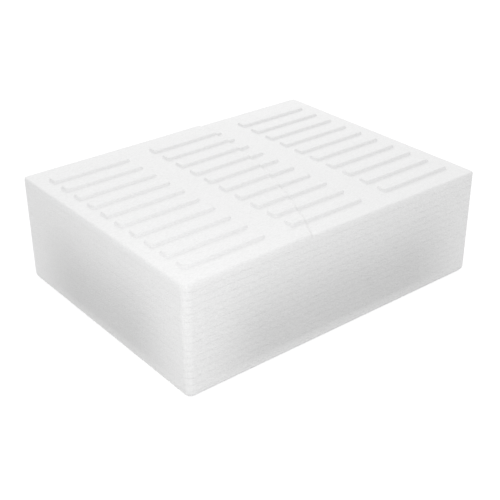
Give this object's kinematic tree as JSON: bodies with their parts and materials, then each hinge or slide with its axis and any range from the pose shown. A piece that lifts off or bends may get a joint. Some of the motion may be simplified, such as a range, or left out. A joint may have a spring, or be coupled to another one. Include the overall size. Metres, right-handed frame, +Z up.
{
  "type": "plug tray stack",
  "caption": "Nested stack of white foam plug trays, each a pressed sheet with rows of long raised cells over matching hollows, that lift off one at a time.",
  "frame": {"origin": "middle of the stack's footprint, on the surface it stands on", "axes": "+X along the bars and the trays' long side, +Y across the bars, +Z up"},
  "size_m": [0.4, 0.31, 0.129],
  "materials": {
    "foam": "matt, closed-cell foam"
  },
  "bodies": {
    "stack_tray_01": {"tray_01_lowest": "foam"},
    "stack_tray_02": {"tray_02": "foam"},
    "stack_tray_03": {"tray_03": "foam"},
    "stack_tray_04": {"tray_04": "foam"},
    "stack_tray_05": {"tray_05": "foam"},
    "stack_tray_06": {"tray_06": "foam"},
    "stack_tray_07": {"tray_07": "foam"},
    "stack_tray_08": {"tray_08": "foam"},
    "stack_tray_09": {"tray_09": "foam"},
    "stack_tray_10": {"tray_10": "foam"},
    "stack_tray_11": {"tray_11": "foam"},
    "stack_tray_12": {"tray_12": "foam"},
    "stack_tray_13": {"tray_13": "foam"},
    "stack_tray_14": {"tray_14": "foam"},
    "stack_tray_15": {"tray_15": "foam"},
    "stack_tray_16": {"tray_16_top": "foam"}
  },
  "joints": [
    {"name": "lift_tray_02", "type": "slide", "parent": "stack_tray_01", "child": "stack_tray_02", "axis": [0, 0, 1], "range_m": [0, 0.03]},
    {"name": "lift_tray_03", "type": "slide", "parent": "stack_tray_02", "child": "stack_tray_03", "axis": [0, 0, 1], "range_m": [0, 0.03]},
    {"name": "lift_tray_04", "type": "slide", "parent": "stack_tray_03", "child": "stack_tray_04", "axis": [0, 0, 1], "range_m": [0, 0.03]},
    {"name": "lift_tray_05", "type": "slide", "parent": "stack_tray_04", "child": "stack_tray_05", "axis": [0, 0, 1], "range_m": [0, 0.03]},
    {"name": "lift_tray_06", "type": "slide", "parent": "stack_tray_05", "child": "stack_tray_06", "axis": [0, 0, 1], "range_m": [0, 0.03]},
    {"name": "lift_tray_07", "type": "slide", "parent": "stack_tray_06", "child": "stack_tray_07", "axis": [0, 0, 1], "range_m": [0, 0.03]},
    {"name": "lift_tray_08", "type": "slide", "parent": "stack_tray_07", "child": "stack_tray_08", "axis": [0, 0, 1], "range_m": [0, 0.03]},
    {"name": "lift_tray_09", "type": "slide", "parent": "stack_tray_08", "child": "stack_tray_09", "axis": [0, 0, 1], "range_m": [0, 0.03]},
    {"name": "lift_tray_10", "type": "slide", "parent": "stack_tray_09", "child": "stack_tray_10", "axis": [0, 0, 1], "range_m": [0, 0.03]},
    {"name": "lift_tray_11", "type": "slide", "parent": "stack_tray_10", "child": "stack_tray_11", "axis": [0, 0, 1], "range_m": [0, 0.03]},
    {"name": "lift_tray_12", "type": "slide", "parent": "stack_tray_11", "child": "stack_tray_12", "axis": [0, 0, 1], "range_m": [0, 0.03]},
    {"name": "lift_tray_13", "type": "slide", "parent": "stack_tray_12", "child": "stack_tray_13", "axis": [0, 0, 1], "range_m": [0, 0.03]},
    {"name": "lift_tray_14", "type": "slide", "parent": "stack_tray_13", "child": "stack_tray_14", "axis": [0, 0, 1], "range_m": [0, 0.03]},
    {"name": "lift_tray_15", "type": "slide", "parent": "stack_tray_14", "child": "stack_tray_15", "axis": [0, 0, 1], "range_m": [0, 0.03]},
    {"name": "lift_tray_16", "type": "slide", "parent": "stack_tray_15", "child": "stack_tray_16", "axis": [0, 0, 1], "range_m": [0, 0.03]}
  ]
}
